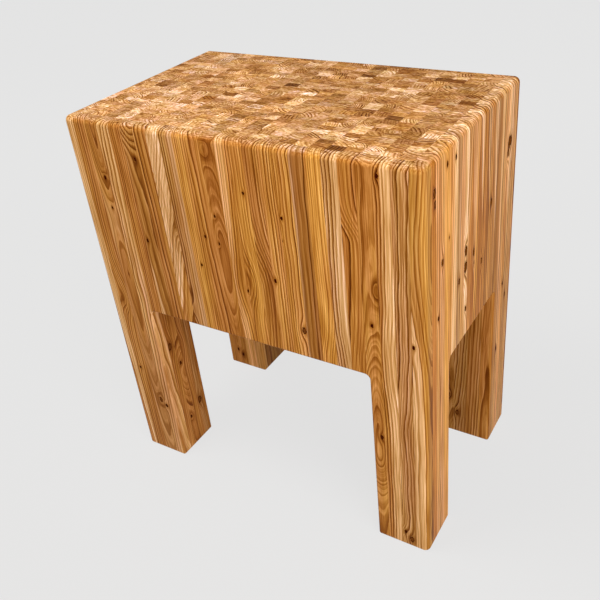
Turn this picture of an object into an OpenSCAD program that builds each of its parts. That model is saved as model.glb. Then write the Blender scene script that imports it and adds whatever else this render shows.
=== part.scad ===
// Butcher's block table: a thick end-grain chopping block that stands on four square legs.
//
// The whole table is one glue-up of upright staves. Staves are glued side by side into panels,
// each as deep as the table, and 25 panels are glued face to face along its width. The staves at
// the four corners run from the work surface to the floor and are the legs. All others stop at
// the underside of the block. After gluing, the arches between the legs are milled clean, which
// leaves a fillet at the head of each leg, and every rim that a hand can touch is rounded over.
//
// Millimetres. +Z is up, the front faces -Y, and the origin is on the floor under the middle.

/* [Stock] */
// Thickness of a panel of staves, along the width of the table
panel_t = 30.8; // [26:0.2:36]
// Mean width of a stave, along the depth of the table
stave_w = 18.6; // [15:0.2:30]
// Width of the staves on the front and back faces, as a share of the mean
face_share = 1.25; // [0.8:0.05:1.5]
// How far the width of a stave strays from the mean, as a share of it
stave_spread = 0.15; // [0:0.05:0.5]
// Which mix of stave widths is drawn
stave_mix = 11; // [1:1:99]
// Thickness of the film of glue between two staves
glue_t = 0.1; // [0.05:0.05:0.3]

/* [Block] */
// Width of the table from end to end
block_w = 760; // [640:1:900]
// Depth of the table from its front face to its back face
block_d = 468; // [400:1:560]
// Thickness of the block from its underside to the work surface
block_t = 430; // [250:5:500]

/* [Legs] */
// Height of the legs from the floor to the underside of the block
leg_h = 430; // [300:5:500]
// Depth of a leg from its outer face to its inner face
leg_d = 110; // [90:1:130]
// How far the inner faces of the legs are milled back from the nearest glue line
mill_back = 4.2; // [1:0.2:8]

/* [Rims] */
// Radius on the rim of the work surface and on the four outer corners
rim_r = 12; // [6:1:20]
// Radius on the rims of the arches and on the inner corners of the legs
arch_r = 5; // [4:0.5:8]
// Radius of the hollow fillet where a leg meets the underside
fillet_r = 11; // [8:1:20]
// Radius on the rim of each foot
foot_r = 4; // [1:0.5:4]

/* [Hidden] */
$fn = 64;
// Panels in a leg, and in the whole width of the table
leg_panels = 4;
panels = round(block_w / panel_t);

// The two end panels take up what is over or short, because the ends are planed to the width
end_panel_t = (block_w - (panels - 2) * panel_t) / 2;

// Widths of the staves that show on the right end, front leg, middle and back leg in turn
end_front = [28, 18, 19, 18, 17, 14];
end_middle = [25, 18, 18, 16, 19, 19, 19, 18, 19, 18, 19, 19, 13];
end_back = [23, 19, 18, 19, 18, 17];

table_h = leg_h + block_t;

// Glue lines round the long staves of a leg, measured from the outer faces of the table
leg_line_x = end_panel_t + (leg_panels - 1) * panel_t;
leg_line_y = leg_d + mill_back;
leg_w = leg_line_x - mill_back;

// Clear width of the arches, between the legs
front_span = block_w - 2 * leg_w;
side_span = block_d - 2 * leg_d;

// How far a cutter runs past the wood that it cuts
over = 2;

// Two sizes that differ by less than this are taken as the same
same = 0.001;

function two(k) = str(k < 10 ? "0" : "", k);
function block_name(k) = str("block_panel_", two(k));
function leg_name(leg, k) = str("leg_", leg[0], "_panel_", k);

// Name of each leg, and the quarter of the table that it stands in
LEGS = [
    ["front_left", -1, -1],
    ["front_right", 1, -1],
    ["back_left", -1, 1],
    ["back_right", 1, 1]
];

function total(v, n) = n <= 0 ? 0 : v[n - 1] + total(v, n - 1);
function holds_legs(k) = k <= leg_panels || k > panels - leg_panels;

// Left face of panel k, and its right face, counted from the left end of the table
function panel_left(k) = -block_w / 2 + (k == 1 ? 0 : end_panel_t + (k - 2) * panel_t);
function panel_right(k) = k == panels ? block_w / 2 : panel_left(k + 1);

// A face that is glued stands back by half a film of glue, and an outer face does not
function glued(v, side, outer) = abs(v) > outer - same ? v : v + side * glue_t / 2;

// Relative widths of the staves of panel k from depth y0 to depth y1
function stave_shares(k, y0, y1, shown, draw) =
    k == panels && len(shown) > 0 ? shown
    : let (
        n = max(1, round((y1 - y0) / stave_w)),
        drawn = rands(1 - stave_spread, 1 + stave_spread, n, stave_mix * 1000 + k * 10 + draw),
        at_front = y0 < same - block_d / 2,
        at_back = y1 > block_d / 2 - same
    )
    [for (i = [0 : n - 1])
        drawn[i] * ((at_front && i == 0) || (at_back && i == n - 1) ? face_share : 1)];

// The staves of panel k from depth y0 to depth y1, with their feet at z0
module staves(k, y0, y1, z0, shown = [], draw = 0) {
    share = stave_shares(k, y0, y1, shown, draw);
    scale_y = (y1 - y0) / total(share, len(share));
    x0 = glued(panel_left(k), 1, block_w / 2);
    x1 = glued(panel_right(k), -1, block_w / 2);
    for (i = [0 : len(share) - 1]) {
        a = glued(y0 + scale_y * total(share, i), 1, block_d / 2);
        b = glued(y0 + scale_y * total(share, i + 1), -1, block_d / 2);
        translate([x0, a, z0])
            cube([x1 - x0, b - a, table_h - z0]);
    }
}

// What lies outside a quarter circle that is tucked into a corner of wood at the origin
module round_over_section(r) {
    difference() {
        translate([-over, -over])
            square(r + over);
        translate([r, r])
            circle(r);
    }
}

// Cutter that rounds an edge along +Z, where the wood is on the side of +X and +Y
module edge_cutter(length, r) {
    linear_extrude(length)
        round_over_section(r);
}

// Cutter that rounds a lower edge along +X, where the wood is on the side of +Y and +Z
module lower_edge_cutter(length, r) {
    rotate([90, 0, 90])
        edge_cutter(length, r);
}

// Cutter that carries a lower rounded edge through a quarter turn round an upright corner
module corner_cutter(corner_r, r) {
    rotate_extrude(angle = 90)
        difference() {
            translate([corner_r - r, -over])
                square(r + over);
            translate([corner_r - r, r])
                circle(r);
        }
}

// Cutter round the lower rim of a post with its first corner at the origin
module post_rim_cutter(w, d, corners, r) {
    starts = [[corners[0], 0], [w, corners[1]], [w - corners[2], d], [0, d - corners[3]]];
    centres = [
        [w - corners[1], corners[1]],
        [w - corners[2], d - corners[2]],
        [corners[3], d - corners[3]],
        [corners[0], corners[0]]
    ];
    for (i = [0 : 3]) {
        next = (i + 1) % 4;
        length = (i % 2 == 0 ? w : d) - corners[i] - corners[next];
        translate(starts[i])
            rotate([0, 0, 90 * i])
                lower_edge_cutter(length, r);
        translate(centres[i])
            rotate([0, 0, 90 * i - 90])
                corner_cutter(corners[next], r);
    }
}

// Outline of an arch: a straight-sided opening from the floor up, with filleted upper corners
module arch_outline(span) {
    translate([-span / 2, -over])
        square([span, leg_h - fillet_r + over]);
    translate([fillet_r - span / 2, 0])
        square([span - 2 * fillet_r, leg_h]);
    for (side = [-1, 1])
        translate([side * (span / 2 - fillet_r), leg_h - fillet_r])
            circle(fillet_r);
}

// The two arches, which cross under the block and leave the four legs standing
module arches() {
    translate([0, block_d / 2 + over, 0])
        rotate([90, 0, 0])
            linear_extrude(block_d + 2 * over)
                arch_outline(front_span);
    translate([-block_w / 2 - over, 0, 0])
        rotate([90, 0, 90])
            linear_extrude(block_w + 2 * over)
                arch_outline(side_span);
}

// Cutter for the left half of an arch's rim, on a face that lies at y = -face
module arch_rim_cutter(span, face) {
    translate([-span / 2, -face, -over])
        mirror([1, 0, 0])
            edge_cutter(leg_h - fillet_r + over, arch_r);
    translate([fillet_r - span / 2, -face, leg_h])
        lower_edge_cutter(span / 2 - fillet_r, arch_r);
    translate([fillet_r - span / 2, -face, leg_h - fillet_r])
        rotate([-90, 0, 0])
            rotate([0, 0, 180])
                rotate_extrude(angle = 90)
                    difference() {
                        translate([fillet_r - over, -over])
                            square([arch_r + over, arch_r + over]);
                        translate([fillet_r + arch_r, arch_r])
                            circle(arch_r);
                    }
}

// Cutter for the rim of the work surface and for the outer corner, in the front left quarter
module top_rim_cutter() {
    translate([-block_w / 2, -block_d / 2, -over])
        edge_cutter(table_h + 2 * over, rim_r);
    translate([-block_w / 2, -block_d / 2, table_h])
        mirror([0, 0, 1]) {
            translate([rim_r, 0, 0])
                lower_edge_cutter(block_w / 2 - rim_r, rim_r);
            mirror([1, -1, 0])
                translate([rim_r, 0, 0])
                    lower_edge_cutter(block_d / 2 - rim_r, rim_r);
            translate([rim_r, rim_r, 0])
                rotate([0, 0, 180])
                    corner_cutter(rim_r, rim_r);
        }
}

// All the rounding in one quarter of the table, turned to the quarter that is asked for
module quarter_rims(side_x, side_y, leg) {
    mirror([side_x > 0 ? 1 : 0, 0, 0])
        mirror([0, side_y > 0 ? 1 : 0, 0]) {
            top_rim_cutter();
            arch_rim_cutter(front_span, block_d / 2);
            mirror([1, -1, 0])
                arch_rim_cutter(side_span, block_w / 2);
            if (leg) {
                translate([-front_span / 2, -side_span / 2, -over])
                    rotate([0, 0, 180])
                        edge_cutter(leg_h - fillet_r + over, arch_r);
                translate([-block_w / 2, -block_d / 2, 0])
                    post_rim_cutter(leg_w, leg_d, [rim_r, arch_r, arch_r, arch_r], foot_r);
            }
        }
}

// A panel of short staves. Beside the legs it fills the block between the long staves.
module block_panel(k) {
    reach = holds_legs(k) ? block_d / 2 - leg_line_y : block_d / 2;
    color(k % 2 == 0 ? "peru" : "burlywood")
        difference() {
            staves(k, -reach, reach, leg_h - fillet_r, holds_legs(k) ? end_middle : []);
            arches();
            for (side_x = [-1, 1])
                if (side_x < 0 ? panel_left(k) < 0 : panel_right(k) > 0)
                    for (side_y = [-1, 1])
                        quarter_rims(side_x, side_y, false);
        }
}

// A panel of long staves in one leg, counted from the end of the table inwards
module leg_panel(leg, k) {
    place = leg[1] < 0 ? k : panels + 1 - k;
    front = leg[2] < 0;
    y0 = front ? -block_d / 2 : block_d / 2 - leg_line_y;
    color(k % 2 == 0 ? "sienna" : "chocolate")
        difference() {
            staves(place, y0, y0 + leg_line_y, 0, front ? end_front : end_back, front ? 1 : 2);
            arches();
            quarter_rims(leg[1], leg[2], true);
        }
}

for (k = [1 : panels])
    block_panel(k);

for (leg = LEGS, k = [1 : leg_panels])
    leg_panel(leg, k);
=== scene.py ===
"""Looks for a butcher's block table: an end-grain block on four legs, glued up from upright staves.

Every panel of staves is dressed as solid wood. Each stave is cut, in the mind, from its own place in
a log: its growth rings run round a pith line, and the same rings show as arcs on the end grain and as
straight or arched grain down the sides. Knots part the grain, and some staves reach into pale sapwood.

Metres. +Z is up and the front faces -Y. The rings are worked out in millimetres.
"""

import logging
import math
import random
from dataclasses import dataclass, field
from enum import Enum
from typing import Optional, Sequence, Union

import bpy
import numpy as np
from mathutils import Euler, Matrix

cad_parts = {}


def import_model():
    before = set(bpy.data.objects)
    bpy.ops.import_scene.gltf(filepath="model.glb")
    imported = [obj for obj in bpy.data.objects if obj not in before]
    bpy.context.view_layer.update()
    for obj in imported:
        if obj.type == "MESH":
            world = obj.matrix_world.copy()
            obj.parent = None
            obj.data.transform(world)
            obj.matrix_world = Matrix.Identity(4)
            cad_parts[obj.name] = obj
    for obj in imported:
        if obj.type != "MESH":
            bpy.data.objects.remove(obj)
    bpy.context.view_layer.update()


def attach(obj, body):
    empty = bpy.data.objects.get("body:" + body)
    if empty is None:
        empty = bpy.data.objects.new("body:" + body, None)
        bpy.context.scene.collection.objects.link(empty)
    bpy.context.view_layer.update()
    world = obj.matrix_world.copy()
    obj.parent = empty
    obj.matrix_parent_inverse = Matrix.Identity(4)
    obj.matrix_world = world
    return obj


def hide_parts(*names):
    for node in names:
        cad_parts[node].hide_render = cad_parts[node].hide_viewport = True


log = logging.getLogger("butchers_block")

Pair = tuple[float, float]
Triple = tuple[float, float, float]
# What a socket can be fed with, and what it can be looked up by
Value = Union["Signal", float, Triple]
Name = Union[str, int]

# Millimetres in a metre
MM = 1000.0
# Panels along the table, and in the width of a leg
PANELS = 25
LEG_PANELS = 4
# Rows of staves from front to back: the first behind a front leg, the first of a back leg, and the last
MIDDLE_ROW = 7
BACK_ROW = 20
LAST_ROW = 25
# Height that a knot is given where a stave has none, far under the floor, in mm
NO_KNOT = -9000.0


class Tone(Enum):
    """Mean colour of a stave, early and late wood together, as linear light."""

    HONEY = (0.62, 0.255, 0.050)
    GOLD = (0.70, 0.300, 0.058)
    AMBER = (0.51, 0.192, 0.034)
    RUST = (0.42, 0.145, 0.022)
    UMBER = (0.27, 0.095, 0.018)
    OLIVE = (0.50, 0.205, 0.044)
    TAN = (0.62, 0.285, 0.085)
    ROSE = (0.65, 0.330, 0.135)
    CREAM = (0.95, 0.570, 0.260)


class Cut(Enum):
    """How a stave was sawn from the log, which sets how its rings meet the faces."""

    FLAT = "rings lie along the front face and show there as arches"
    RIFT = "rings cross the stave at a slant"
    QUARTER = "rings stand square to the front face and show there as straight lines"
    PITH = "the middle of the log lies in the stave or just outside it"


@dataclass(frozen=True)
class Knot:
    """A knot that comes straight out of a side of the table."""

    across: float  # Place along the side, in mm from the middle of the table
    height: float  # Height off the floor, in mm
    # Half the width of the dark core, in mm. Less than nothing is a knot under the surface, where only the
    # grain round it shows
    size: float


@dataclass(frozen=True)
class Figure:
    """The growth rings of one stave."""

    pith: Pair = (60.0, 60.0)  # Offset of the pith line from the middle of the stave, in mm
    spacing: float = 3.0  # Mean width of a ring, in mm
    contrast: float = 0.6  # Darkness of the late wood
    lean: Pair = (0.0, 0.0)  # How far the pith line wanders from upright, in mm per metre of height
    # How far the pith line bends inwards at its crest, in mm. Less than nothing bends it outwards
    bend: float = 0.0
    sway: float = 0.0  # How far the grain sways to the right at the crest, in mm
    crest: float = 645.0  # Height off the floor where it bends most, in mm
    reach: float = 150.0  # How far below the crest the bend reaches, in mm
    skew: float = 1.0  # How far above the crest it reaches, as a share of the reach below
    wander: float = 2.0  # Slow waviness of the grain, in mm
    sapwood: float = 900.0  # Radius at which the pale sapwood starts, in mm
    pale: float = 0.7  # How pale the sapwood is


@dataclass(frozen=True)
class Stave:
    """One stave, by the box that it fills."""

    panel: int  # Its panel, counted from the left end
    row: int  # Its row, counted from the front face
    low: Triple  # Lowest corner, in mm
    high: Triple  # Highest corner, in mm

    @property
    def middle(self) -> Pair:
        """Middle of the stave in plan, in mm."""
        return ((self.low[0] + self.high[0]) / 2, (self.low[1] + self.high[1]) / 2)

    @property
    def at_end(self) -> bool:
        """Whether the stave shows on the left or right end of the table."""
        return self.panel in (1, PANELS)


@dataclass(frozen=True)
class Dress:
    """Everything that the wood shader is told about one stave."""

    tone: Tone  # Mean colour
    shade: float  # Lightness beside the tone's own
    figure: Figure  # The growth rings
    knots: tuple[Knot, ...] = ()  # Up to three knots
    # Staves with the same number are cut from one board, so that their grain runs on
    twin: Optional[int] = None
    end_shade: float = 1.0  # Lightness of the end grain beside the tone's own


class Signal:
    """An output of a node, which can be reckoned with like a plain number."""

    def __init__(self, wiring: "Wiring", socket: bpy.types.NodeSocket) -> None:
        """Wraps an output of a wiring."""
        self.wiring, self.socket = wiring, socket

    def __add__(self, other: Value) -> "Signal":
        """The sum of two numbers."""
        return self.wiring.math("ADD", self, other)

    def __sub__(self, other: Value) -> "Signal":
        """This number less another."""
        return self.wiring.math("SUBTRACT", self, other)

    def __rsub__(self, other: Value) -> "Signal":
        """A plain number less this one."""
        return self.wiring.math("SUBTRACT", other, self)

    def __mul__(self, other: Value) -> "Signal":
        """The product of two numbers."""
        return self.wiring.math("MULTIPLY", self, other)

    def __truediv__(self, other: Value) -> "Signal":
        """This number divided by another."""
        return self.wiring.math("DIVIDE", self, other)

    __radd__ = __add__


class Wiring:
    """Shorthand for a node tree, where each node is one call or one sign."""

    def __init__(self, owner: Union[bpy.types.Material, bpy.types.World]) -> None:
        """Clears the nodes of a material or world."""
        owner.use_nodes = True
        self.tree = owner.node_tree
        self.tree.nodes.clear()

    def feed(self, socket: bpy.types.NodeSocket, value: Value) -> None:
        """Links an output into a socket, or sets the socket to a plain value.

        Args:
            socket: The input.
            value: An output, a number, or three numbers for a vector or a colour.
        """
        if isinstance(value, Signal):
            self.tree.links.new(value.socket, socket)
        else:
            socket.default_value = (*value, 1.0) if socket.type == "RGBA" else value

    def node(
        self, kind: str, inputs: Optional[dict[Name, Value]] = None, output: Name = 0, **settings: str
    ) -> Signal:
        """Adds a node and feeds it.

        Args:
            kind: Blender's name for the kind of node.
            inputs: What is fed to it, by the name or number of the input.
            output: Name or number of the output that is wanted.
            settings: Properties that are set on it.

        Returns:
            The output.
        """
        node = self.tree.nodes.new(kind)
        for name, setting in settings.items():
            setattr(node, name, setting)
        for name, value in (inputs or {}).items():
            self.feed(node.inputs[name], value)
        return Signal(self, node.outputs[output])

    def show(self, kind: str, surface: Signal) -> None:
        """Ends the tree with an output node of a kind."""
        self.feed(self.tree.nodes.new(kind).inputs[0], surface)

    def math(self, operation: str, *inputs: Value) -> Signal:
        """The result of a Math node."""
        return self.node("ShaderNodeMath", dict(enumerate(inputs)), operation=operation)

    def vector(self, operation: str, *inputs: Value) -> Signal:
        """The vector that a Vector Math node makes."""
        return self.node("ShaderNodeVectorMath", dict(enumerate(inputs)), "Vector", operation=operation)

    def scaled(self, vector: Value, factor: Value) -> Signal:
        """A vector times a number."""
        return self.node("ShaderNodeVectorMath", {0: vector, "Scale": factor}, "Vector", operation="SCALE")

    def split(self, vector: Value) -> tuple[Signal, ...]:
        """The three numbers of a vector."""
        first = self.node("ShaderNodeSeparateXYZ", {0: vector})
        return tuple(Signal(self, output) for output in first.socket.node.outputs)

    def joined(self, *parts: Value) -> Signal:
        """A vector from its three numbers."""
        return self.node("ShaderNodeCombineXYZ", dict(enumerate(parts)))

    def noise(self, place: Value, detail: float, output: str = "Fac") -> Signal:
        """Smooth noise with features one unit wide, about 0.5 on average: a number, or three as Color."""
        return self.node("ShaderNodeTexNoise", {"Vector": place, "Scale": 1.0, "Detail": detail}, output)

    def strayed(self, chance: Value, amount: Value) -> Signal:
        """Three numbers that stray to both sides of nothing, from noise about 0.5 on average."""
        return self.scaled(self.vector("SUBTRACT", chance, (0.5, 0.5, 0.5)), amount)

    def smooth(self, value: Value, low: float, high: float, to_low: Value = 0.0, to_high: Value = 1.0) -> Signal:
        """A smooth step of a value, from one result where it is low to another where it is high."""
        entries = {"Value": value, "From Min": low, "From Max": high, "To Min": to_low, "To Max": to_high}
        return self.node("ShaderNodeMapRange", entries, interpolation_type="SMOOTHSTEP")

    def fade(self, share: Value, at_none: Value, at_full: Value) -> Signal:
        """A number that goes smoothly from one value to another as a share goes from 0 to 1."""
        return self.smooth(share, 0.0, 1.0, at_none, at_full)

    def bell(self, across: Signal, along: Signal, fall: Pair) -> Signal:
        """A smooth hump, 1 in its middle, that falls off across and along the grain."""
        return self.math("EXPONENT", (across * across * fall[0] + along * along * fall[1]) * -1.0)

    def blend(self, factor: Value, first: Value, second: Value, mode: str = "MIX") -> Signal:
        """Two colours mixed, by the share of the second and a blend mode."""
        # The node's sockets for colours share their names with those for numbers, so that they go by number
        return self.node("ShaderNodeMix", {0: factor, 6: first, 7: second}, 2, data_type="RGBA", blend_type=mode)


class StaveWiring(Wiring):
    """The wiring of a stave's wood, with what its faces carry and the place that is shaded, in mm."""

    # Keeps the noise of one stave well away from the next stave's
    SEED_SPREAD = 100.0

    def __init__(self, owner: bpy.types.Material) -> None:
        """Reads the attributes that StavePanel.carry writes.

        Args:
            owner: The material that is wired.
        """
        super().__init__(owner)
        self.place = self.scaled(self.node("ShaderNodeTexCoord", output="Object"), MM)
        self.seed = self.scaled(self.carried("stave_seed"), self.SEED_SPREAD)
        self.tone = self.carried("stave_tone", "Color")
        self.pale = self.carried("stave_tone", "Alpha")
        self.spacing, self.contrast, self.wander = self.split(self.carried("stave_rings"))
        self.pith_x, self.pith_y, self.sapwood = self.split(self.carried("stave_pith"))
        self.lean_x, self.lean_y, self.bend = self.split(self.carried("stave_lean"))
        self.sideways, self.crest, self.reach = self.split(self.carried("stave_bend"))
        self.sway, self.skew, self.end_shade = self.split(self.carried("stave_sway"))
        self.frontways = 1.0 - self.sideways

    def carried(self, name: str, output: str = "Vector") -> Signal:
        """An attribute of the faces."""
        return self.node("ShaderNodeAttribute", output=output, attribute_name=name)

    def grain(self, noise: "GrainNoise", output: str = "Fac") -> Signal:
        """Noise along the grain, about 0.5 on average: a number, or three as Color."""
        place = self.vector("MULTIPLY", self.place, noise.pace)
        return self.noise(self.vector("ADD", place, self.scaled(self.seed, noise.shift)), noise.detail, output)


@dataclass(frozen=True)
class GrainNoise:
    """Noise that is drawn out along the grain."""

    pace: Triple  # Features per mm, along each axis
    detail: float  # Octaves of finer noise
    shift: float = 1.0  # What the stave's seed is multiplied by, so that two noises don't run alike


@dataclass(frozen=True)
class KnotMarks:
    """What a stave's knots do to the wood round them."""

    parting: Signal  # How far the grain is pushed aside, in mm
    swelling: Signal  # How far the rings swell out, in mm
    core: Signal  # Where the knots are
    heart: Signal  # Where the lighter wood inside their dark rims is
    halo: Signal  # Where the wood round them is darkened


@dataclass(frozen=True)
class KnotShape:
    """Shape of every knot. Distances are in halves of its own width."""

    push: float = 0.75  # How far the grain is pushed aside
    swell: float = 1.3  # How far the rings swell out
    push_fall: Pair = (0.16, 0.035)  # How fast both fall off, across and along the grain
    ragged: float = 1.5  # How ragged the rim is
    ragged_pace: float = 0.35  # Features of the ragged rim, per mm
    ragged_detail: float = 2.0  # Octaves of finer features
    length: float = 0.36  # How slowly distance grows along the grain, squared
    rim: Pair = (0.85, 1.15)  # Distances at which the dark rim starts to end, and has ended
    heart_rim: Pair = (0.45, 0.95)  # The same for the lighter wood inside it
    # Half widths, in mm, at which a knot starts to have such wood, and has it in full
    heart_size: Pair = (3.0, 4.5)
    # How fast the dark streak above and below falls off, across and along the grain
    tail_fall: Pair = (1.4, 0.05)
    halo_rim: Pair = (0.9, 3.0)  # Distances at which the dark halo starts to end, and has ended
    halo: float = 0.9  # Strength of that halo
    hidden: float = 99.0  # Distance that stands for a knot under the surface
    least: float = 0.001  # Smallest half width, in mm

    def wire(self, w: StaveWiring) -> KnotMarks:
        """Wires all knots of a stave.

        Args:
            w: The stave's wiring.

        Returns:
            What they do to the wood.
        """
        x, y, z = w.split(w.place)
        across = x * w.frontways + y * w.sideways
        rim_noise = w.noise(w.scaled(w.place, self.ragged_pace), self.ragged_detail, "Color")
        ragged_u, ragged_z, _ = w.split(w.strayed(rim_noise, self.ragged))
        parting = swelling = core = heart = halo = 0.0
        for name in StavePanel.KNOT_NAMES:
            knot_u, knot_z, size = w.split(w.carried(name))
            under = 1.0 - w.math("GREATER_THAN", size, 0.0)
            size = w.math("MAXIMUM", w.math("ABSOLUTE", size), self.least)
            du, dz = (across - knot_u) / size, (z - knot_z) / size
            near = w.bell(du, dz, self.push_fall)
            parting = parting + near * du * (size * -self.push)
            swelling = swelling + near * (size * self.swell)

            rough_u, rough_z = du + ragged_u, dz + ragged_z
            distance = w.math("SQRT", rough_u * rough_u + rough_z * rough_z * self.length) + under * self.hidden
            core = w.math("MAXIMUM", core, w.smooth(distance, *self.rim, 1.0, 0.0))
            inside = w.smooth(distance, *self.heart_rim, 1.0, 0.0) * w.smooth(size, *self.heart_size)
            heart = w.math("MAXIMUM", heart, inside)
            shaded = w.smooth(distance, *self.halo_rim, self.halo, 0.0)
            halo = w.math("MAXIMUM", halo, w.math("MAXIMUM", w.bell(du, dz, self.tail_fall), shaded))
        return KnotMarks(parting, swelling, core, heart, halo)


@dataclass(frozen=True)
class RingMarks:
    """What the growth rings do to the wood."""

    late: Signal  # Darkness of the late wood
    sap: Signal  # Where the sapwood is
    broad: Signal  # How light the band of rings is, from 0 to 1
    streak: Signal  # How light the streak along the grain is, from 0 to 1


@dataclass(frozen=True)
class RingShape:
    """How the growth rings lie and how each one darkens."""

    slow: GrainNoise = GrainNoise((0.02, 0.02, 0.0065), 1.5)  # Noise of the slow waves in the grain
    slow_size: float = 2.6  # Size of those waves, beside the stave's own waviness
    quick: GrainNoise = GrainNoise((0.07, 0.07, 0.022), 2.0)  # Noise of the short waves
    quick_size: float = 0.55  # Size of the short waves
    uneven: float = 1.7  # How far rings are crowded together and drawn apart, in rings
    uneven_pace: float = 0.33  # How soon that changes, per ring
    broad_pace: float = 0.21  # How soon the lightness changes from band to band, per ring
    faintest: float = 0.38  # Darkness of the faintest ring beside the darkest
    # Shares of a ring at which its late wood starts, and is at its darkest
    rise: Pair = (0.15, 0.90)
    rise_power: float = 1.5  # How late in the ring most of the darkening comes
    # Shares of a ring at which the late wood starts to end, and has ended
    fall: Pair = (0.94, 1.0)
    streak_pace: Pair = (0.9, 0.006)  # Streaks per mm, across the rings and along the grain
    # Where the sapwood starts and has started, in mm from its radius
    sap_edge: Pair = (-1.0, 1.2)

    def radius(self, w: StaveWiring, knots: KnotMarks) -> tuple[Signal, Signal]:
        """Wires the distance from the pith line, which leans, bends and sways.

        Args:
            w: The stave's wiring.
            knots: What its knots do.

        Returns:
            The radius and the height, both in mm and with the waves of the grain.
        """
        slow = w.strayed(w.grain(self.slow, "Color"), w.wander * self.slow_size)
        quick = w.strayed(w.grain(self.quick, "Color"), w.wander * self.quick_size)
        x, y, z = w.split(w.vector("ADD", w.place, w.vector("ADD", slow, quick)))
        x = x + knots.parting * w.frontways
        y = y + knots.parting * w.sideways

        up = (z - w.crest) * (1.0 / MM)
        off = (z - w.crest) / w.reach
        off = w.math("MAXIMUM", off / w.skew, off * -1.0)
        crested = w.math("EXPONENT", off * off * -1.0)
        bent, swayed = w.bend * crested, w.sway * crested
        dx = x - (w.pith_x + w.lean_x * up + (bent * w.sideways + swayed * w.frontways))
        dy = y - (w.pith_y + w.lean_y * up + (bent * w.frontways + swayed * w.sideways))
        return w.math("SQRT", dx * dx + dy * dy) + knots.swelling, z

    def wire(self, w: StaveWiring, knots: KnotMarks) -> RingMarks:
        """Wires the growth rings.

        Args:
            w: The stave's wiring.
            knots: What its knots do.

        Returns:
            What the rings do to the wood.
        """
        radius, z = self.radius(w, knots)
        seed_x, seed_y, seed_z = w.split(w.seed)
        count = radius / w.spacing
        count = count + w.noise(w.joined(count * self.uneven_pace, seed_x, seed_y), 1.0) * self.uneven
        broad = w.noise(w.joined(count * self.broad_pace, seed_y, seed_z), 0.0)

        year = w.joined(w.math("FLOOR", count), seed_z, 0.0)
        chance = w.node("ShaderNodeTexWhiteNoise", {"Vector": year}, "Value", noise_dimensions="2D")
        phase = w.math("FRACT", count)
        rise = w.math("POWER", w.smooth(phase, *self.rise), self.rise_power)
        fall = w.smooth(phase, *self.fall, 1.0, 0.0)
        late = rise * fall * (w.fade(chance, self.faintest, 1.0) * w.contrast)

        over, along = self.streak_pace
        streak = w.noise(w.joined(radius * over, seed_y, z * along), 2.0)
        return RingMarks(late, w.smooth(radius - w.sapwood, *self.sap_edge), broad, streak)


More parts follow.
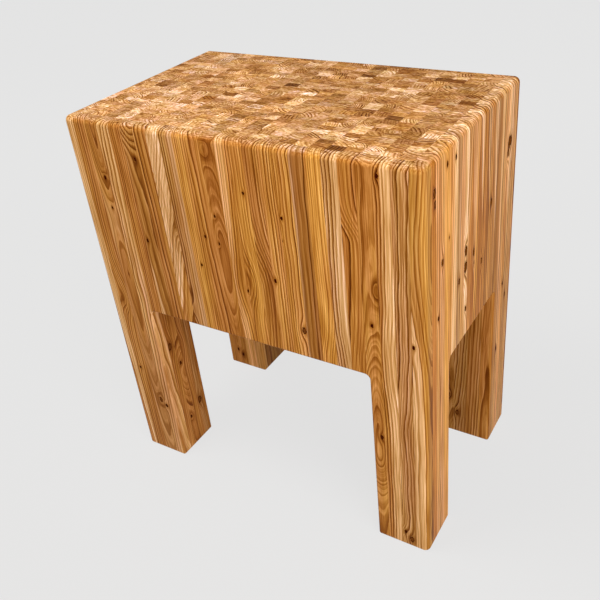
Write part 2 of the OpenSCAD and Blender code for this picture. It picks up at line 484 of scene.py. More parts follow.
@dataclass(frozen=True)
class StaveWood:
    """Oiled wood with strong growth rings, laid out by what each stave's faces carry."""

    name: str  # Name of the material
    knots: KnotShape = KnotShape()  # Shape of the knots
    rings: RingShape = RingShape()  # Shape of the rings
    # Upright parts of a face's normal at which end grain starts, and is full
    end_slope: Pair = (0.55, 0.95)
    end_tone_and_sheen: Triple = (0.65, 0.362, 0.150)  # Colour that end grain draws near to in every stave: partly the end grain's own paler tone, partly a painted sheen of the oiled top
    end_pull: float = 0.45  # How near it draws
    hue: GrainNoise = GrainNoise((0.045, 0.045, 0.0035), 1.0, 1.7)  # Noise of the colour's drift within a stave
    hue_edge: Pair = (0.35, 0.65)  # Levels of that noise that are pink and gold in full
    pink_drift: Triple = (1.00, 0.97, 1.08)  # How the colour wanders towards pink
    gold_drift: Triple = (1.00, 1.02, 0.90)  # How it wanders towards gold
    # How fast red, green and blue fall as the wood darkens. Dark wood is redder than pale wood
    deepening: Triple = (1.0, 1.45, 2.5)
    early_lift: float = 1.24  # How much lighter than the mean the early wood is, where the rings are strongest
    late_depth: float = 0.72  # How much light the late wood loses
    late_most: float = 1.15  # Greatest darkness of late wood, and how much stronger it is on end grain
    sap_late: float = 0.80  # Darkness of late wood in the sapwood beside that elsewhere
    fibre: GrainNoise = GrainNoise((0.52, 0.52, 0.011), 3.0)  # Noise of the fibres
    fibre_depth: Pair = (1.35, 0.8)  # How strongly the fibres mark long grain and end grain
    pores: GrainNoise = GrainNoise((0.13, 0.42, 0.01), 3.0)  # Noise of the open pores
    pore_depth: Pair = (0.0, 2.6)  # How strongly the pores mark long grain and end grain
    drift: GrainNoise = GrainNoise((0.03, 0.03, 0.005), 1.0)  # Noise of the slow change in lightness
    drift_edge: Pair = (0.25, 0.75)  # Levels of that noise that are dark and light in full
    drift_depth: float = 0.12  # How strong that change is
    broad_edge: Pair = (0.3, 0.7)  # Levels of the bands of rings that are dark and light in full
    broad_light: Pair = (-0.16, 0.14)  # What the dark and the light bands add
    halo_depth: float = 0.35  # How much light the wood loses round a knot
    darkest: float = 0.02  # Least light that is left anywhere
    bark_colour: Triple = (0.045, 0.004, 0.0005)  # Colour of the dark rim of a knot
    heart_colour: Triple = (0.18, 0.055, 0.010)  # Colour inside that rim
    gloss: float = 0.05  # Strength of the sheen, which the knots don't have
    roughness: float = 0.46  # Mean roughness
    roughness_spread: float = 0.16  # How much the fibres change the roughness
    relief: float = 0.00012  # Height of the late wood over the early wood, in metres
    relief_strength: float = 0.55  # How much of that relief shows
    fibre_relief: float = 0.6  # Height of the fibres beside that of the late wood

    def build(self) -> bpy.types.Material:
        """Makes the material.

        Returns:
            The material, for every stave of a slot.
        """
        material = bpy.data.materials.new(self.name)
        w = StaveWiring(material)
        knots = self.knots.wire(w)
        rings = self.rings.wire(w, knots)
        fibre = w.grain(self.fibre)
        upright = w.split(w.node("ShaderNodeTexCoord", output="Normal"))[2]
        end = w.smooth(w.math("ABSOLUTE", upright), *self.end_slope)

        light = self.light(w, knots, rings, fibre, end)
        deepened = w.joined(*(w.math("POWER", light, rate) for rate in self.deepening))
        colour = w.blend(1.0, self.hued(w, rings, end), deepened, "MULTIPLY")
        colour = w.blend(knots.core, colour, w.blend(knots.heart, self.bark_colour, self.heart_colour))
        height = rings.late + fibre * self.fibre_relief
        bump = {"Strength": self.relief_strength, "Distance": self.relief, "Height": height}
        entries = {
            "Base Color": colour,
            "Roughness": fibre * self.roughness_spread + (self.roughness - self.roughness_spread / 2),
            "Specular IOR Level": (1.0 - knots.core) * self.gloss,
            "Normal": w.node("ShaderNodeBump", bump),
        }
        w.show("ShaderNodeOutputMaterial", w.node("ShaderNodeBsdfPrincipled", entries))
        return material

    def hued(self, w: StaveWiring, rings: RingMarks, end: Signal) -> Signal:
        """Wires the colour of the wood before anything darkens it.

        Args:
            w: The stave's wiring.
            rings: What its rings do.
            end: Where the end grain is.

        Returns:
            The colour.
        """
        # End grain draws towards a paler colour, partly its own tone and partly a painted sheen
        tone = w.blend(end * self.end_pull, w.tone, self.end_tone_and_sheen)
        gold = w.smooth(w.grain(self.hue), *self.hue_edge)
        tone = w.blend(1.0, tone, w.blend(gold, self.pink_drift, self.gold_drift), "MULTIPLY")
        return w.blend(rings.sap * w.pale, tone, Tone.CREAM.value)

    def light(self, w: StaveWiring, knots: KnotMarks, rings: RingMarks, fibre: Signal, end: Signal) -> Signal:
        """Wires how light the wood is, beside its own colour.

        Args:
            w: The stave's wiring.
            knots: What its knots do.
            rings: What its rings do.
            fibre: Noise of the fibres.
            end: Where the end grain is.

        Returns:
            The lightness.
        """
        late = w.math("MINIMUM", rings.late * w.fade(end, 1.0, self.late_most), self.late_most)
        late = late * w.fade(rings.sap, 1.0, self.sap_late)
        light = (fibre - 0.5) * w.fade(end, *self.fibre_depth)
        light = light + (w.grain(self.pores) - 0.5) * w.fade(end, *self.pore_depth)
        light = light + (rings.streak - 0.5)
        light = light + w.smooth(w.grain(self.drift), *self.drift_edge, -self.drift_depth, self.drift_depth)
        light = light + w.smooth(rings.broad, *self.broad_edge, *self.broad_light)
        light = (light + 1.0) * (1.0 - late * self.late_depth)
        light = light * (w.contrast * (self.early_lift - 1.0) + 1.0)
        light = light * (1.0 - knots.halo * self.halo_depth)
        # The end shade is the end grain's own lightness, with painted shade across the top for chance staves
        light = light * w.fade(end, 1.0, w.end_shade)
        return w.math("MAXIMUM", light, self.darkest)


class StaveSorter:
    """Decides what each stave looks like: as listed where it shows in front, by seeded chance elsewhere."""

    # Staves of the front face, by panel
    FRONT: dict[int, Dress] = {
        1: Dress(Tone.AMBER, 0.9, Figure((-66, 5), 5.2, 0.7, (-26, 0), crest=860, sapwood=52, pale=0.85)),
        2: Dress(Tone.AMBER, 0.84, Figure((62, 15), 5.8, 1.1, (0, 30), sway=14, crest=470, reach=60,
            wander=4), (Knot(-342, 440, -7.0), Knot(-344, 250, 2.4))),
        3: Dress(Tone.AMBER, 0.8, Figure((5, 0), 3.9, 0.95, (0, -40), bend=11, crest=655, reach=90, wander=3,
            sapwood=25, pale=0.07), (Knot(-302, 741, 2.8), Knot(-303, 674, 2.2), Knot(-302, 166, 4.6))),
        4: Dress(Tone.TAN, 0.9, Figure((-54, 38), 6.4, 1.0, (30, 0), wander=5), (Knot(-288, 152, 3.4),)),
        5: Dress(Tone.OLIVE, 1.1, Figure((80, -20), 4.8, 1.0, (8, 0), wander=3)),
        6: Dress(Tone.AMBER, 0.74, Figure((8, 26), 6.4, 0.95, (-60, 0), bend=-24, crest=870, reach=44,
            wander=4, sapwood=54, pale=0.45), (Knot(-209, 792, 2.4), Knot(-225, 614, 2.8))),
        7: Dress(Tone.AMBER, 0.83, Figure((58, 20), 7.8, 1.15, (-24, 0), wander=4)),
        8: Dress(Tone.AMBER, 0.86, Figure((60, 24), 7.0, 1.1, (270, 20), crest=600, wander=5, sapwood=50,
            pale=0.5), (Knot(-139, 660, -5.0),)),
        9: Dress(Tone.OLIVE, 0.82, Figure((-66, -6), 6.0, 1.1, wander=4, sapwood=72, pale=0.16),
            (Knot(-137, 515, -4.0), Knot(-135, 470, -5.0))),
        10: Dress(Tone.GOLD, 0.83, Figure((70, 20), 5.0, 0.85, wander=3), (Knot(-92, 587, 2.0),)),
        11: Dress(Tone.AMBER, 0.92, Figure((44, 20), 6.4, 1.0, (-60, 20), wander=5), (Knot(-70, 655, 2.0),)),
        12: Dress(Tone.AMBER, 0.9, Figure((-2, 32), 4.4, 0.9, bend=-24, crest=600, reach=190, wander=3),
            (Knot(-36, 832, -5.0), Knot(-38, 704, 2.0), Knot(-38, 646, 2.0))),
        13: Dress(Tone.HONEY, 0.93, Figure((66, 6), 5.8, 1.05, sway=-16, crest=565, reach=80, skew=1.6,
            wander=3, sapwood=62, pale=0.22), (Knot(14, 553, 2.2), Knot(19, 575, -9.0)), twin=4),
        14: Dress(Tone.GOLD, 0.86, Figure((35, 6), 5.2, 0.95, crest=560, wander=3), (Knot(36, 763, 2.0),
            Knot(12, 553, 2.2), Knot(19, 575, -10.0)), twin=4),
        15: Dress(Tone.OLIVE, 1.06, Figure((-58, 12), 6.2, 1.1, sway=32, crest=570, reach=300, skew=0.27,
            wander=3)),
        16: Dress(Tone.HONEY, 0.87, Figure((70, 5), 5.8, 0.95, wander=3), (Knot(81, 592, 2.8),)),
        17: Dress(Tone.HONEY, 0.88, Figure((-74, 6), 7.4, 1.2, (0, 10), wander=4), (Knot(112, 728, 2.4),
            Knot(133, 494, 4.8), Knot(107, 682, 1.8))),
        18: Dress(Tone.RUST, 0.72, Figure((66, 12), 8.0, 1.15, (14, 0), wander=4, sapwood=77, pale=0.1)),
        19: Dress(Tone.GOLD, 0.9, Figure((90, 30), 4.6, 0.8, sway=-14, crest=430, reach=60, wander=3)),
        20: Dress(Tone.TAN, 0.84, Figure((-72, 6), 6.6, 1.1, (20, 0), sway=12, crest=430, reach=70, wander=5,
            sapwood=68, pale=0.28)),
        21: Dress(Tone.AMBER, 0.92, Figure((-58, 14), 6.0, 1.2, sway=34, crest=705, reach=250, skew=0.18,
            wander=3)),
        22: Dress(Tone.HONEY, 0.84, Figure((2, 34), 3.8, 0.72, (10, 0), bend=-36, crest=250, reach=110,
            skew=2.2, wander=3), (Knot(278, 547, 2.6), Knot(286, 285, 3.4), Knot(290, 620, -5.0))),
        23: Dress(Tone.HONEY, 0.83, Figure((-60, 8), 6.0, 1.1, sway=-8, crest=500, reach=130, wander=4,
            sapwood=61, pale=0.62), (Knot(301, 837, 2.8),)),
        24: Dress(Tone.TAN, 0.82, Figure((-44, 6), 5.2, 1.3, (14, 0), sway=-9, crest=300, reach=110,
            wander=7), (Knot(330, 38, 3.0), Knot(344, 21, 5.0))),
        25: Dress(Tone.GOLD, 0.68, Figure((60, 16), 6.0, 0.8, sway=-30, crest=680, reach=160, skew=2.0,
            wander=4, sapwood=59, pale=0.32), (Knot(357, 523, 2.8),)),
    }

    # Staves of the right end, by row. Many rows lean from a crest at the work surface, so that they are paler
    # near the top
    RIGHT: dict[int, Dress] = {
        2: Dress(Tone.RUST, 1.14, Figure((10, 60), 9.0, 0.9, wander=4), (Knot(-194, 802, 5.4),
            Knot(-191, 782, 4.6))),
        3: Dress(Tone.TAN, 1.12, Figure((20, -56), 9.0, 0.8, wander=4), (Knot(-179, 555, 3.0),)),
        4: Dress(Tone.TAN, 1.08, Figure((30, 50), 9.0, 0.8, wander=4), (Knot(-161, 659, 4.6),)),
        5: Dress(Tone.GOLD, 0.95, Figure((20, 70), 8.0, 0.7, wander=3), (Knot(-141, 830, 3.4),)),
        6: Dress(Tone.GOLD, 0.98, Figure((40, 50), 9.0, 0.8, wander=4), (Knot(-132, 692, 2.0),)),
        7: Dress(Tone.TAN, 1.24, Figure((10, -62), 7.0, 0.8, (0, 34), crest=500, wander=3, sapwood=53,
            pale=0.85), (Knot(-104, 828, 3.2),)),
        8: Dress(Tone.TAN, 0.72, Figure((30, 60), 8.0, 1.0, wander=3), (Knot(-82, 575, 4.0),)),
        9: Dress(Tone.TAN, 1.06, Figure((20, 60), 8.0, 1.1, wander=3, sapwood=70, pale=0.5)),
        10: Dress(Tone.TAN, 0.97, Figure((10, -60), 7.0, 1.1, sway=-11, crest=590, reach=90, sapwood=58,
            pale=0.85), (Knot(-50, 622, 6.4), Knot(-51, 588, 7.6), Knot(-47, 494, 3.8))),
        11: Dress(Tone.HONEY, 1.0, Figure((30, 60), 7.6, 1.1, (0, 64), crest=860, wander=4, sapwood=52,
            pale=0.45)),
        12: Dress(Tone.RUST, 1.1, Figure((20, -60), 8.0, 1.2, (0, -60), crest=860, wander=4, sapwood=50,
            pale=0.18), (Knot(-9, 598, 5.0), Knot(-4, 574, 3.4))),
        13: Dress(Tone.HONEY, 0.96, Figure((30, 60), 8.4, 1.2, (0, 40), crest=860, wander=3, sapwood=59,
            pale=0.2)),
        14: Dress(Tone.RUST, 1.04, Figure((20, -60), 8.0, 1.3, (0, -60), crest=860, wander=4, sapwood=53,
            pale=0.45)),
        15: Dress(Tone.AMBER, 1.06, Figure((30, 60), 7.6, 1.1, wander=4), (Knot(33, 555, 4.4),)),
        16: Dress(Tone.RUST, 0.9, Figure((20, -60), 9.0, 1.3, (0, -80), crest=860, wander=3, sapwood=52,
            pale=0.52)),
        17: Dress(Tone.OLIVE, 1.14, Figure((30, 60), 9.0, 1.3, wander=4, sapwood=76, pale=0.35),
            (Knot(81, 660, 4.6),)),
        18: Dress(Tone.HONEY, 0.8, Figure((20, -60), 9.0, 1.3, (0, -60), crest=860, wander=3, sapwood=51,
            pale=0.45)),
        19: Dress(Tone.AMBER, 0.7, Figure((30, 60), 7.6, 1.1, (0, 60), crest=860, wander=4, sapwood=57,
            pale=0.14)),
        20: Dress(Tone.OLIVE, 1.0, Figure((10, -58), 7.0, 1.0, (0, -24), crest=860, sapwood=58, pale=0.7)),
        21: Dress(Tone.TAN, 1.03, Figure((30, 60), 8.4, 1.1, wander=4), (Knot(151, 260, 3.4),)),
        22: Dress(Tone.TAN, 1.3, Figure((20, -60), 8.0, 1.1, (0, -50), crest=860, wander=4, sapwood=54,
            pale=0.35), (Knot(178, 744, 8.4), Knot(172, 724, 5.4), Knot(176, 420, 3.2))),
        23: Dress(Tone.TAN, 0.9, Figure((30, 60), 8.4, 1.1, (0, 50), crest=860, wander=4, sapwood=55,
            pale=0.3), (Knot(184, 746, 6.4), Knot(196, 380, 3.6))),
        24: Dress(Tone.TAN, 1.0, Figure((20, -60), 7.4, 1.2, wander=4)),
    }

    # Staves whose inner faces show under the block, by panel and row. Their low shades are partly the wood's own
    # tone and partly painted shade under the block, and a higher end_shade keeps some of their ends on the work
    # surface out of that painted shade
    INNER: dict[tuple[int, int], Dress] = {
        (4, 2): Dress(Tone.AMBER, 0.8, Figure((-10, 52), 5.0, 0.9, (0, 40), wander=5),
            (Knot(-203, 311, 5.8),)),
        (4, 3): Dress(Tone.AMBER, 0.82, Figure((-30, 6), 4.6, 0.9, (0, 10), bend=23, crest=224, reach=70,
            wander=4), (Knot(-181, 250, 3.2), Knot(-185, 86, 3.0))),
        (4, 4): Dress(Tone.AMBER, 0.8, Figure((-10, 60), 6.0, 0.9, wander=5), (Knot(-172, 290, -7.0),)),
        (4, 5): Dress(Tone.AMBER, 0.76, Figure((-10, -60), 6.0, 0.9, wander=4, sapwood=57, pale=0.2),
            (Knot(-147, 111, 6.2),)),
        (4, 6): Dress(Tone.RUST, 0.8, Figure((-50, 30), 6.0, 0.8, wander=4), (Knot(-140, 120, -6.0),)),
        (1, 20): Dress(Tone.AMBER, 0.86, Figure((-10, 60), 6.0, 0.5), end_shade=1.1),
        (2, 20): Dress(Tone.AMBER, 0.9, Figure((-10, 60), 6.0, 0.4), (Knot(-336, 36, 3.2),
            Knot(-351, 50, 3.0)), end_shade=1.1),
        (3, 20): Dress(Tone.TAN, 1.16, Figure((20, -60), 7.0, 0.6)),
        (4, 20): Dress(Tone.TAN, 0.98, Figure((-50, -30), 7.0, 0.6), end_shade=1.1),
        # The back left leg's inner face, darkened further as painted shade under the block; end_shade lifts
        # their ends on the work surface back
        (4, 21): Dress(Tone.AMBER, 0.62, Figure((-60, 20), 6.0, 0.7), end_shade=1.35),
        (4, 22): Dress(Tone.AMBER, 0.56, Figure((-60, -20), 6.0, 0.7), end_shade=1.45),
        (4, 23): Dress(Tone.AMBER, 0.54, Figure((-60, 20), 6.0, 0.7), end_shade=1.5),
        (4, 24): Dress(Tone.AMBER, 0.54, Figure((-60, -20), 6.0, 0.7), end_shade=1.5),
        (22, 20): Dress(Tone.OLIVE, 0.7, Figure((26, 40), 7.6, 1.0, (30, 0), bend=14, crest=200, reach=190,
            wander=7), (Knot(280, 111, 3.6),)),
        (23, 20): Dress(Tone.OLIVE, 0.67, Figure((-44, 20), 7.6, 1.05, (60, 0), wander=8),
            (Knot(301, 61, 4.4),)),
        (24, 20): Dress(Tone.OLIVE, 0.84, Figure((-66, 8), 7.6, 0.9, (30, 0), wander=4)),
    }

    # Ends on the work surface that stand out pale, dark or reddish, by panel and row
    TOP: dict[Tone, tuple[tuple[int, int], ...]] = {
        Tone.CREAM: (
            (10, 18), (11, 19), (7, 14), (2, 6), (2, 4), (3, 24), (19, 18), (22, 23), (24, 22), (23, 19),
            (13, 16), (15, 11), (19, 4), (20, 4), (24, 4), (10, 4), (8, 3), (15, 2), (12, 9), (22, 10),
            (24, 7), (13, 2), (5, 3), (17, 23), (2, 19), (25, 13), (14, 12), (9, 13), (20, 7),
        ),
        Tone.UMBER: (
            (12, 16), (18, 17), (21, 10), (25, 20), (25, 19), (20, 2),
        ),
        Tone.RUST: (
            (25, 12), (25, 11), (7, 20), (8, 20), (8, 19), (7, 21), (24, 18), (22, 16), (22, 15), (16, 17),
            (20, 11), (19, 10), (9, 9), (13, 12), (14, 6), (6, 14), (8, 14), (3, 12), (3, 13), (11, 15),
            (22, 22), (24, 16),
        ),
    }

    # Lightness of those ends beside their tone's own, and the most that it is before that
    ACCENT_SHADE: dict[Tone, float] = {Tone.CREAM: 0.94, Tone.UMBER: 0.44, Tone.RUST: 0.72}
    ACCENT_MOST = 1.06

    # How often chance picks each tone and each cut
    TONE_SHARES: dict[Tone, int] = {
        Tone.HONEY: 28, Tone.TAN: 28, Tone.AMBER: 16, Tone.GOLD: 8, Tone.OLIVE: 9, Tone.RUST: 4, Tone.ROSE: 7,
    }
    CUT_SHARES: dict[Cut, int] = {Cut.FLAT: 6, Cut.RIFT: 3, Cut.QUARTER: 2, Cut.PITH: 1}

    # Directions in which the pith lies, and how far it strays from them, in degrees
    TURNS: dict[Cut, tuple[tuple[int, ...], int]] = {
        Cut.FLAT: ((90, 270), 15),
        Cut.RIFT: ((45, 135, 225, 315), 20),
        Cut.QUARTER: ((0, 180), 15),
    }

    # How far lightness differs from panel to panel, and from stave to stave
    PANEL_SPREAD = 0.06
    STAVE_SPREAD = 0.08

    # Shares of the chance staves that reach into sapwood, and that have a knot. Then where it sits beside the
    # middle of the stave, its height off the floor and half its width, in mm
    SAPWOOD_SHARE = 0.10
    KNOT_SHARE = 0.4
    KNOT_ACROSS = (-8, 8)
    KNOT_HEIGHT = (40, 800)
    KNOT_SIZE = (2.2, 5.0)

    # Chance lightness of the end grain: its mean, its spread and the most that it is
    END_SHADE = 1.07
    END_SPREAD = 0.18
    END_MOST = 1.28
    # Painted shade: how it falls from row to row towards the back, and from panel to panel beside one of them
    PAINTED_ROW_FALL = 0.006
    PAINTED_PANEL_FALL = 0.007
    MEAN_PANEL = 9
    # Strength of its broad patches, and their pace and start along the panels and the rows, in radians
    PATCH = 0.07
    PATCH_PANELS = (0.55, 0.8)
    PATCH_ROWS = (0.47, 2.0)

    def __init__(self, seed: int = 7) -> None:
        """Sets up the chance draws.

        Args:
            seed: Start of the draws.
        """
        self.seed = seed
        draw = random.Random(seed)
        self.panel_shade = [draw.gauss(1.0, self.PANEL_SPREAD) for _ in range(PANELS + 1)]
        self.accents = {place: tone for tone, places in self.TOP.items() for place in places}

    def chance_figure(self, draw: random.Random) -> Figure:
        """Rings for a stave that nobody chose by hand.

        Args:
            draw: The stave's own draws.

        Returns:
            The rings.
        """
        cut = draw.choices(list(self.CUT_SHARES), list(self.CUT_SHARES.values()))[0]
        far = draw.uniform(30, 100)
        turns = {
            kind: draw.choice(ways) + draw.uniform(-slack, slack) for kind, (ways, slack) in self.TURNS.items()
        }
        turns[Cut.PITH] = draw.uniform(0, 360)
        if cut is Cut.PITH:
            far = draw.uniform(4, 22)
        turn = math.radians(turns[cut])
        return Figure(
            pith=(far * math.cos(turn), far * math.sin(turn)),
            lean=(draw.gauss(0, 20), draw.gauss(0, 40)),
            bend=draw.gauss(0, 14),
            crest=draw.uniform(100, 800),
            reach=draw.uniform(90, 220),
            spacing=draw.uniform(3.2, 7.6),
            contrast=draw.triangular(0.5, 1.3, 0.8),
            wander=draw.uniform(1.5, 5.0),
            sapwood=far + draw.uniform(-4, 12) if draw.random() < self.SAPWOOD_SHARE else Figure.sapwood,
        )

    def chance_end_shade(self, stave: Stave, draw: random.Random) -> float:
        """Lightness of the end grain, which changes in broad patches, with a painted shade that falls off to the
        back and right.

        Args:
            stave: The stave.
            draw: The stave's own draws.

        Returns:
            The lightness.
        """
        wave_x, wave_y = (
            math.sin(pace * number + start)
            for number, (pace, start) in ((stave.panel, self.PATCH_PANELS), (stave.row, self.PATCH_ROWS))
        )
        # Painted shade across the top: lighter to the front left, darker to the back and right
        fall = self.PAINTED_ROW_FALL * stave.row + self.PAINTED_PANEL_FALL * (stave.panel - self.MEAN_PANEL)
        mean = self.END_SHADE - fall + self.PATCH * wave_x * wave_y
        return min(draw.gauss(mean, self.END_SPREAD), self.END_MOST)

    def faces_sideways(self, stave: Stave) -> bool:
        """Whether the stave's best seen side looks to the left or right, so that its knots come out there."""
        in_end = stave.at_end and 1 < stave.row < LAST_ROW
        return in_end or (stave.panel == LEG_PANELS and (stave.panel, stave.row) in self.INNER)

    def dress(self, stave: Stave) -> Dress:
        """Chooses the look of one stave.

        Args:
            stave: The stave.

        Returns:
            Its look.
        """
        place = (stave.panel, stave.row)
        if stave.row == 1:
            return self.FRONT[stave.panel]
        if stave.panel == PANELS and stave.row in self.RIGHT:
            return self.RIGHT[stave.row]
        if place in self.INNER:
            return self.INNER[place]
        # The factors keep the draws of any two staves apart
        draw = random.Random(self.seed * 100003 + stave.panel * 101 + stave.row)
        tone = draw.choices(list(self.TONE_SHARES), list(self.TONE_SHARES.values()))[0]
        tone = self.accents.get(place, tone)
        shade = self.panel_shade[stave.panel] * draw.gauss(1.0, self.STAVE_SPREAD)
        figure = self.chance_figure(draw)
        knots: tuple[Knot, ...] = ()
        if draw.random() < self.KNOT_SHARE:
            side = stave.middle[1] if stave.at_end else stave.middle[0]
            across, height, size = (
                draw.uniform(*limits) for limits in (self.KNOT_ACROSS, self.KNOT_HEIGHT, self.KNOT_SIZE)
            )
            knots = (Knot(side + across, height, size),)
        end_shade = self.chance_end_shade(stave, draw)
        if place in self.accents:
            end_shade = min(end_shade, self.ACCENT_MOST) * self.ACCENT_SHADE[tone]
        return Dress(tone, shade, figure, knots, end_shade=end_shade)


@dataclass
class StavePanel:
    """One glued panel of staves, in the shape of its CAD node."""

    KNOT_NAMES = ("stave_knot_1", "stave_knot_2", "stave_knot_3")

    node: str  # Name of the CAD node that it replaces
    panel: int  # Its place, counted from the left end of the table
    slot: str  # Name of a material slot, which is not used
    wood: bpy.types.Material  # The material
    sorter: StaveSorter  # Chooses the look of each stave
    merge: float = 0.00001  # Corners closer than this are one corner, in metres
    flat: float = 0.5  # Faces that meet at less than this angle are one face, in degrees
    crease: float = 30.0  # Faces that meet at more than this angle keep a hard edge, in degrees
    piece: Optional[bpy.types.Object] = field(default=None, init=False)

    def build(self) -> bpy.types.Object:
        """Makes the panel and dresses its staves.

        Returns:
            The finished piece.
        """
        self.piece = self.closed_copy()
        staves, owner = self.find_staves()
        self.carry(staves, owner)
        self.piece.data.materials.clear()
        self.piece.data.materials.append(self.wood)
        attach(self.piece, "root")
        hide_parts(self.node)
        return self.piece

    def closed_copy(self) -> bpy.types.Object:
        """Copies the node's mesh, joins its loose triangles and dissolves the flat faces.

        Returns:
            The new object, with every stave a closed shell.
        """
        source = bpy.data.objects[self.node]
        piece = bpy.data.objects.new(self.node + "_staves", source.data.copy())
        bpy.context.scene.collection.objects.link(piece)
        bpy.ops.object.select_all(action="DESELECT")
        piece.select_set(True)
        bpy.context.view_layer.objects.active = piece
        bpy.ops.object.mode_set(mode="EDIT")
        bpy.ops.mesh.select_all(action="SELECT")
        bpy.ops.mesh.remove_doubles(threshold=self.merge)
        bpy.ops.mesh.customdata_custom_splitnormals_clear()
        bpy.ops.mesh.dissolve_limited(angle_limit=math.radians(self.flat))
        bpy.ops.object.mode_set(mode="OBJECT")
        bpy.ops.object.shade_smooth_by_angle(angle=math.radians(self.crease))
        return piece

    def read(self, elements: str, name: str, width: int = 1, kind: type = int) -> np.ndarray:
        """Reads one property of the mesh.

        Args:
            elements: Kind of elements, such as edges.
            name: Name of the property.
            width: How many numbers each element has.
            kind: Kind of number.

        Returns:
            A number for each element, or a row of numbers.
        """
        source = getattr(self.piece.data, elements)
        values = np.empty(len(source) * width, kind)
        source.foreach_get(name, values)
        return values.reshape(-1, width) if width > 1 else values

    def label_shells(self, points: np.ndarray) -> np.ndarray:
        """Finds which corners hang together.

        Args:
            points: The mesh's corners.

        Returns:
            For each corner, a number that it shares with its whole shell.
        """
        starts, ends = self.read("edges", "vertices", 2).T
        shell = np.arange(len(points))
        while True:
            least = np.minimum(shell[starts], shell[ends])
            before = shell.copy()
            np.minimum.at(shell, starts, least)
            np.minimum.at(shell, ends, least)
            shell = shell[shell]
            if np.array_equal(before, shell):
                return shell

    def find_staves(self) -> tuple[list[Stave], np.ndarray]:
        """Sorts the shells of the mesh into staves.

        Returns:
            The staves from front to back, and the index of the stave that owns each face.
        """
        points = self.read("vertices", "co", 3, float) * MM
        shell = self.label_shells(points)
        found = [(label, points[shell == label]) for label in np.unique(shell)]
        found.sort(key=lambda entry: entry[1][:, 1].min())
        staves = [
            Stave(self.panel, self.first_row() + i, tuple(own.min(0)), tuple(own.max(0)))
            for i, (_, own) in enumerate(found)
        ]
        order = {label: i for i, (label, _) in enumerate(found)}
        first_corners = self.read("loops", "vertex_index")[self.read("polygons", "loop_start")]
        return staves, np.array([order[label] for label in shell[first_corners]])

    def first_row(self) -> int:
        """Finds where the panel starts.

        Returns:
            Row of its first stave, counted from the front of the table.
        """
        if "leg_back" in self.node:
            return BACK_ROW
        if "leg_front" in self.node or LEG_PANELS < self.panel <= PANELS - LEG_PANELS:
            return 1
        return MIDDLE_ROW

    def told(self, stave: Stave) -> dict[str, Sequence[float]]:
        """What the faces of one stave are to carry.

        Args:
            stave: The stave.

        Returns:
            Values by the names of their attributes: a colour with its alpha, or a vector.
        """
        look = self.sorter.dress(stave)
        figure = look.figure
        x, y = stave.middle
        # The factors keep the draws of any two staves apart
        draw = random.Random(look.twin or stave.panel * 331 + stave.row * 17)
        values: dict[str, Sequence[float]] = {
            "stave_tone": (*(c * look.shade for c in look.tone.value), figure.pale),
            "stave_seed": (draw.random(), draw.random(), draw.random()),
            "stave_pith": (x + figure.pith[0], y + figure.pith[1], figure.sapwood),
            "stave_lean": (*figure.lean, figure.bend),
            "stave_bend": (float(self.sorter.faces_sideways(stave)), figure.crest, figure.reach),
            "stave_sway": (figure.sway, figure.skew, look.end_shade),
            "stave_rings": (figure.spacing, figure.contrast, figure.wander),
        }
        for i, name in enumerate(self.KNOT_NAMES):
            knot = look.knots[i] if i < len(look.knots) else Knot(0.0, NO_KNOT, 1.0)
            values[name] = (knot.across, knot.height, knot.size)
        return values

    def carry(self, staves: Sequence[Stave], owner: np.ndarray) -> None:
        """Writes each stave's look to its faces.

        Args:
            staves: The staves.
            owner: Index of the stave that owns each face.
        """
        looks = [self.told(stave) for stave in staves]
        for name in looks[0]:
            spread = np.array([look[name] for look in looks], np.float32)[owner]
            coloured = name == "stave_tone"
            kind, entry = ("FLOAT_COLOR", "color") if coloured else ("FLOAT_VECTOR", "vector")
            attribute = self.piece.data.attributes.new(name, kind, "FACE")
            attribute.data.foreach_set(entry, spread.ravel())


@dataclass
class Block:
    """The thick block between the legs: 25 panels of short staves."""

    panels: int = PANELS  # Number of panels along the table
    slot: str = "block_staves"  # Name of a material slot, handed to each panel

    def build(self, sorter: StaveSorter) -> list[bpy.types.Object]:
        """Makes all panels.

        Args:
            sorter: Chooses the look of each stave.

        Returns:
            The pieces.
        """
        wood = StaveWood("oiled_block_staves").build()
        panels = range(1, self.panels + 1)
        return [StavePanel(f"block_panel_{k:02d}", k, self.slot, wood, sorter).build() for k in panels]


@dataclass
class Legs:
    """The four legs, each of four panels of staves that run from the floor to the work surface."""

    panels: int = PANELS  # Number of panels along the table
    per_leg: int = LEG_PANELS  # Panels in one leg
    slot: str = "leg_staves"  # Name of a material slot, handed to each panel

    def build(self, sorter: StaveSorter) -> list[bpy.types.Object]:
        """Makes all panels of all legs.

        Args:
            sorter: Chooses the look of each stave.

        Returns:
            The pieces.
        """
        wood = StaveWood("oiled_leg_staves").build()
        pieces = []
        for leg in ("front_left", "front_right", "back_left", "back_right"):
            for k in range(1, self.per_leg + 1):
                panel = k if leg.endswith("left") else self.panels + 1 - k
                pieces.append(StavePanel(f"leg_{leg}_panel_{k}", panel, self.slot, wood, sorter).build())
        return pieces


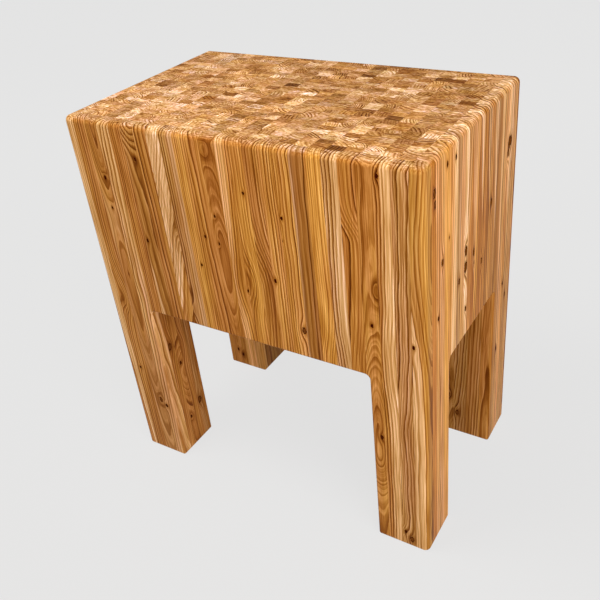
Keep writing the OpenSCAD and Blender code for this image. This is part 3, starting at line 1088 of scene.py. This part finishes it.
@dataclass(frozen=True)
class Floor:
    """A pale floor that looks flat to the camera and keeps part of the object's shadow."""

    reach: float = 20.0  # Half of its side, in metres
    drop: float = 0.0005  # How far it lies under the feet, in metres
    bounce: Triple = (0.31, 0.26, 0.20)  # Colour that it throws back onto the object
    pale: Triple = (0.80, 0.80, 0.80)  # Colour that the camera sees by the light that falls on it
    glow: Pair = (0.780, 0.835)  # Grey that it shows of itself, without that light, near and far
    # Where the near grey starts to change, and where the far grey starts, in metres
    glow_edge: Pair = (-1.2, 2.6)
    away: Pair = (-0.5, 0.87)  # Direction from near to far, along X and Y
    flatness: float = 0.90  # Share of its own glow in what the camera sees

    def build(self) -> bpy.types.Object:
        """Lays the floor.

        Returns:
            The floor.
        """
        bpy.ops.object.select_all(action="DESELECT")
        bpy.ops.mesh.primitive_plane_add(size=2 * self.reach, location=(0, 0, -self.drop))
        floor = bpy.context.object
        floor.name = "studio_floor"
        floor.data.materials.append(self.paint())
        return floor

    def paint(self) -> bpy.types.Material:
        """Makes the floor's material.

        Returns:
            The material.
        """
        material = bpy.data.materials.new("pale_floor")
        w = Wiring(material)
        camera, mirror, glass = (
            w.node("ShaderNodeLightPath", output=f"Is {ray} Ray") for ray in ("Camera", "Glossy", "Transmission")
        )
        seen = w.math("MAXIMUM", camera, w.math("MAXIMUM", mirror, glass))
        matt = w.node("ShaderNodeBsdfDiffuse", {"Color": w.blend(seen, self.bounce, self.pale)})
        x, y, _ = w.split(w.node("ShaderNodeTexCoord", output="Object"))
        level = w.smooth(x * self.away[0] + y * self.away[1], *self.glow_edge, *self.glow)
        glow = w.node("ShaderNodeEmission", {"Color": w.joined(level, level, level)})
        mixed = w.node("ShaderNodeMixShader", {0: seen * self.flatness, 1: matt, 2: glow})
        w.show("ShaderNodeOutputMaterial", mixed)
        return material


@dataclass(frozen=True)
class Air:
    """Even light from all round, seen by the camera as the same grey as the floor."""

    colour: Triple = (1.0, 0.96, 0.90)  # Colour of the light
    strength: float = 0.25  # Strength of the light
    backdrop: float = 0.776  # Grey of the background beyond the floor, as linear light

    def build(self) -> bpy.types.World:
        """Makes the world.

        Returns:
            The world.
        """
        world = bpy.data.worlds.new("studio")
        bpy.context.scene.world = world
        w = Wiring(world)
        light = w.node("ShaderNodeBackground", {"Color": self.colour, "Strength": self.strength})
        seen = w.node("ShaderNodeBackground", {"Color": (self.backdrop, self.backdrop, self.backdrop)})
        camera_ray = w.node("ShaderNodeLightPath", output="Is Camera Ray")
        mixed = w.node("ShaderNodeMixShader", {0: camera_ray, 1: light, 2: seen})
        w.show("ShaderNodeOutputWorld", mixed)
        return world


@dataclass(frozen=True)
class Lamp:
    """A square soft lamp."""

    name: str  # Name of the lamp
    place: Triple  # Where it hangs, in metres
    side: float  # Side of the square, in metres
    power: float  # Power in watts
    colour: Triple  # Colour of its light

    def build(self, aim: Triple) -> bpy.types.Object:
        """Hangs the lamp.

        Args:
            aim: What it points at, in metres.

        Returns:
            The lamp.
        """
        data = bpy.data.lights.new(self.name, "AREA")
        data.shape, data.size, data.energy, data.color = "SQUARE", self.side, self.power, self.colour
        lamp = bpy.data.objects.new(self.name, data)
        bpy.context.scene.collection.objects.link(lamp)
        lamp.location = self.place
        x, y, z = (end - start for end, start in zip(aim, self.place))
        lamp.rotation_euler = Euler((math.atan2(math.hypot(x, y), -z), 0, math.atan2(y, x) - math.pi / 2))
        return lamp


@dataclass(frozen=True)
class PhotoCamera:
    """The photograph's viewpoint."""

    place: Triple = (0.79805, -1.18114, 1.32191)  # Where the camera stands, in metres
    turn: Triple = (1.02152, 0.08108, 0.52400)  # Its turn about X, Y and Z, in radians
    lens: float = 45.28  # Focal length, in mm
    sensor: float = 36.0  # Width of the sensor, in mm
    shift: Pair = (-0.0380, -0.0453)  # Shift of the picture, as a share of its width

    def build(self) -> bpy.types.Object:
        """Sets up the camera.

        Returns:
            The camera.
        """
        data = bpy.data.cameras.new("photo_camera")
        data.sensor_width, data.lens = self.sensor, self.lens
        data.shift_x, data.shift_y = self.shift
        camera = bpy.data.objects.new("photo_camera", data)
        bpy.context.scene.collection.objects.link(camera)
        camera.location = self.place
        camera.rotation_euler = self.turn
        bpy.context.scene.camera = camera
        return camera


@dataclass(frozen=True)
class Studio:
    """Floor, world, lamps and camera."""

    aim: Triple = (0.0, 0.0, 0.55)  # What the lamps point at, in metres
    # The key overhead to the front left, and two fills from the front right and the right
    lamps: tuple[Lamp, ...] = (
        Lamp("key", (-0.7, -0.8, 2.9), 1.2, 42.0, (1.0, 0.98, 0.94)),
        Lamp("front_fill", (2.2, -2.5, 1.3), 1.6, 46.0, (1.0, 0.97, 0.92)),
        Lamp("right_fill", (2.5, -1.2, 1.9), 1.6, 42.0, (1.0, 0.97, 0.93)),
    )

    def build(self) -> None:
        """Sets up everything that isn't part of the object."""
        Floor().build()
        Air().build()
        for lamp in self.lamps:
            lamp.build(self.aim)
        PhotoCamera().build()


def main() -> None:
    """Builds the table and its studio in order."""
    logging.basicConfig(level=logging.INFO, format="%(name)s: %(message)s")
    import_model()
    sorter = StaveSorter()
    for part in (Block(), Legs()):
        for piece in part.build(sorter):
            log.info("%s: %s, %d faces", type(part).__name__, piece.name, len(piece.data.polygons))
    Studio().build()
    bpy.context.scene.view_settings.view_transform = "Standard"


if __name__ == "__main__":
    main()
